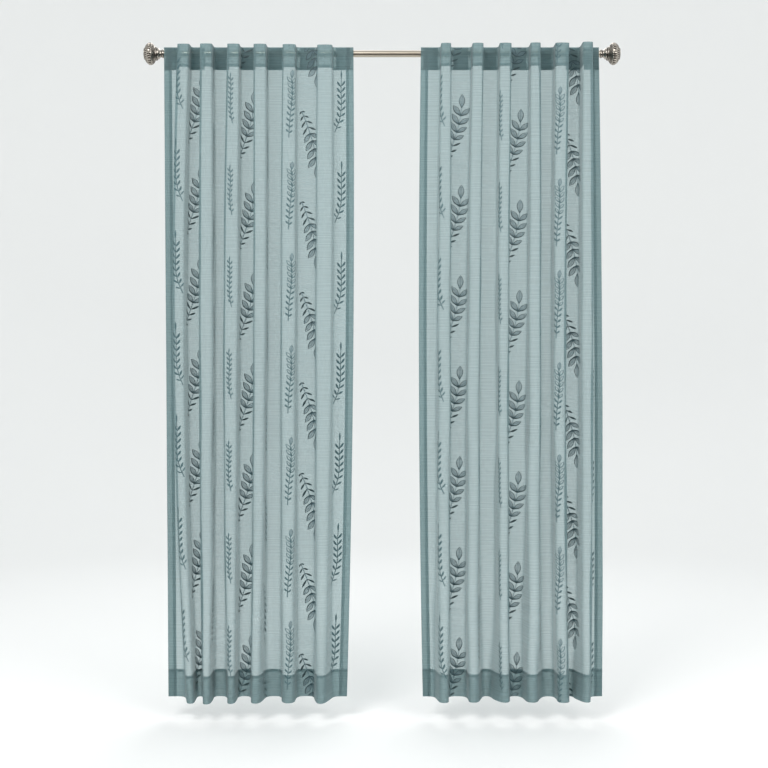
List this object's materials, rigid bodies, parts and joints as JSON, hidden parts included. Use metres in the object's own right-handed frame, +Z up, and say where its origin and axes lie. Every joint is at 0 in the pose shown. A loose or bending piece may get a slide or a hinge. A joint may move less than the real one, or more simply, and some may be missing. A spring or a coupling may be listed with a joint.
{
  "type": "pair of sheer voile curtains on a curtain rod",
  "caption": "Pair of sheer voile curtain panels with leaf-sprig embroidery, hung in soft folds by back tabs from a round metal rod with fluted ball finials.",
  "frame": {"origin": "on the curtain rod's axis, halfway along it", "axes": "+X along the rod to the right as seen from the room, -Y into the room, where the folds stand, +Y to the window, +Z up"},
  "size_m": [1.568, 0.1426, 2.1585],
  "materials": {
    "voile": "sheer slub voile, dusty aqua",
    "embroidery_thread": "machine embroidery thread, dark teal grey",
    "rod_metal": "satin nickel plate",
    "finial_metal": "antiqued nickel, darker in the flutes"
  },
  "bodies": {
    "root": {"left_panel": "voile", "right_panel": "voile", "left_tab_1": "voile", "left_tab_2": "voile", "left_tab_3": "voile", "left_tab_4": "voile", "left_tab_5": "voile", "left_tab_6": "voile", "left_tab_7": "voile", "right_tab_1": "voile", "right_tab_2": "voile", "right_tab_3": "voile", "right_tab_4": "voile", "right_tab_5": "voile", "right_tab_6": "voile", "right_tab_7": "voile", "rod": "rod_metal", "finial_left": "finial_metal", "finial_right": "finial_metal"}
  },
  "joints": []
}
